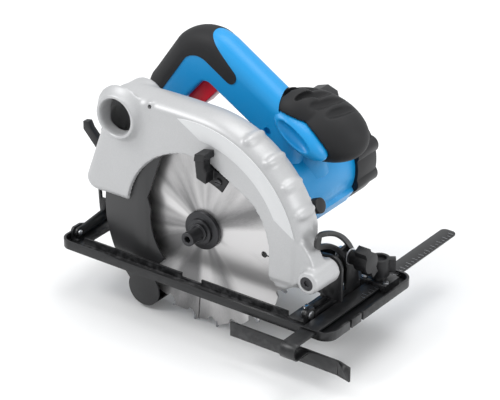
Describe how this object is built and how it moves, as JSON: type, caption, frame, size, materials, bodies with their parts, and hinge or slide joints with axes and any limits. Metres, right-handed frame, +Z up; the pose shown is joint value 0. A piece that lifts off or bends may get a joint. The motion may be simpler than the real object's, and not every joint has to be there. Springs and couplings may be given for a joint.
{
  "type": "circular saw",
  "caption": "Hand-held circular saw with tilting base plate, swinging lower guard, depth setting, rear D-handle with trigger, front knob and parallel guide.",
  "frame": {"origin": "on the sole of the base plate, below the arbor axis and in the middle plane of the blade", "axes": "+X is the cutting direction, +Y the motor side, +Z up from the sole"},
  "size_m": [0.3468, 0.259, 0.2519],
  "materials": {
    "casting": "satin cast",
    "label": "smooth blank film",
    "blue_plastic": "fine moulded",
    "soft_grip": "soft matt overmould",
    "red_plastic": "moulded",
    "black_plastic": "fine moulded",
    "black_steel": "satin black paint",
    "guard_grey": "semi-gloss grey",
    "blade_steel": "ground, radial sheen",
    "carbide": "ground",
    "dark_steel": "black oxide",
    "zinc": "bright zinc",
    "steel": "turned",
    "copper": "varnished winding",
    "brass": "stamped",
    "carbon": "pressed carbon"
  },
  "bodies": {
    "base": {"base_plate": "black_steel", "bevel_quadrant": "black_steel", "rear_bracket": "black_steel", "base_rivets": "zinc", "guide_bridge": "black_steel", "bridge_screws": "zinc", "tilt_pins": "zinc"},
    "guide": {"parallel_guide": "black_steel"},
    "guide_clamp": {"guide_knob": "black_plastic"},
    "tilt_frame": {"front_tilt_bracket": "black_steel", "rear_tilt_bracket": "black_steel", "depth_link": "black_steel", "bevel_bolt": "zinc", "depth_pivot_bolt": "dark_steel"},
    "bevel_clamp": {"bevel_knob": "black_plastic"},
    "tool": {"upper_guard": "casting", "label_panel": "label", "gear_housing": "casting", "gearbox_screws": "zinc", "guard_screws": "zinc", "guard_spring": "steel", "spindle_bearings": "steel", "motor_housing": "blue_plastic", "motor_end_cap": "black_plastic", "cap_screws": "zinc", "armature_bearings": "steel", "field_stator": "steel", "brush_holders": "brass", "carbon_brushes": "carbon", "brush_springs": "steel", "brush_caps": "black_plastic", "handle_shell_right": "blue_plastic", "handle_shell_left": "blue_plastic", "grip_overmould": "soft_grip", "switch_body": "black_plastic", "cord_inlet": "black_plastic", "knob_core": "blue_plastic", "knob_overmould": "soft_grip", "handle_screws": "zinc", "depth_clamp_bolt": "zinc", "trigger_spring": "steel"},
    "depth_clamp": {"depth_lever": "black_plastic"},
    "guard": {"lower_guard": "guard_grey", "guard_lever": "black_steel", "lever_screw": "dark_steel"},
    "blade_shaft": {"saw_blade": "blade_steel", "carbide_tips": "carbide", "inner_flange": "dark_steel", "outer_flange": "dark_steel", "blade_bolt": "dark_steel", "spindle": "steel", "drive_gear": "steel"},
    "armature": {"armature_shaft": "steel", "armature_core": "copper", "commutator": "copper", "cooling_fan": "black_plastic"},
    "trigger": {"trigger": "red_plastic"},
    "lock_off": {"lock_off_button": "black_plastic"},
    "spindle_lock": {"spindle_lock": "black_plastic"}
  },
  "joints": [
    {"name": "guide_slide", "type": "slide", "parent": "base", "child": "guide", "axis": [0, 1, 0], "range_m": [-0.1, 0.02]},
    {"name": "guide_knob_turn", "type": "hinge", "parent": "base", "child": "guide_clamp", "pos_m": [0.134, 0.077, 0.02], "axis": [0, 0, 1], "range_deg": [0, 360]},
    {"name": "bevel_tilt", "type": "hinge", "parent": "base", "child": "tilt_frame", "pos_m": [0, -0.014, 0.009], "axis": [1, 0, 0], "range_deg": [0, 45]},
    {"name": "bevel_knob_turn", "type": "hinge", "parent": "tilt_frame", "child": "bevel_clamp", "pos_m": [0.13, 0.04488, 0.04097], "axis": [1, 0, 0], "range_deg": [0, 360]},
    {"name": "depth_set", "type": "hinge", "parent": "tilt_frame", "child": "tool", "pos_m": [0.124, 0, 0.043], "axis": [0, 1, 0], "range_deg": [-6.5, 13]},
    {"name": "depth_lever_turn", "type": "hinge", "parent": "tool", "child": "depth_clamp", "pos_m": [-0.1333, 0.032, 0.062], "axis": [0, 1, 0], "range_deg": [-60, 0]},
    {"name": "guard_swing", "type": "hinge", "parent": "tool", "child": "guard", "pos_m": [0, 0, 0.048], "axis": [0, 1, 0], "range_deg": [-95, 0]},
    {"name": "blade_spin", "type": "hinge", "parent": "tool", "child": "blade_shaft", "pos_m": [0, 0, 0.048], "axis": [0, 1, 0], "continuous": true},
    {"name": "armature_spin", "type": "hinge", "parent": "tool", "child": "armature", "pos_m": [0.02396, 0, 0.06996], "axis": [0, 1, 0], "continuous": true},
    {"name": "trigger_pull", "type": "slide", "parent": "tool", "child": "trigger", "axis": [-0.7193, 0, 0.6947], "range_m": [0, 0.006], "stiffness_N_per_m": 500, "deforming": ["trigger_spring"]},
    {"name": "lock_off_push", "type": "slide", "parent": "tool", "child": "lock_off", "axis": [0, -1, 0], "range_m": [0, 0.003], "stiffness_N_per_m": 400},
    {"name": "spindle_lock_push", "type": "slide", "parent": "tool", "child": "spindle_lock", "axis": [-0.9272, 0, -0.3746], "range_m": [0, 0.004], "stiffness_N_per_m": 500}
  ],
  "couplings": [
    {"joint": "armature_spin", "follows": "blade_spin", "ratio": -4.2}
  ]
}
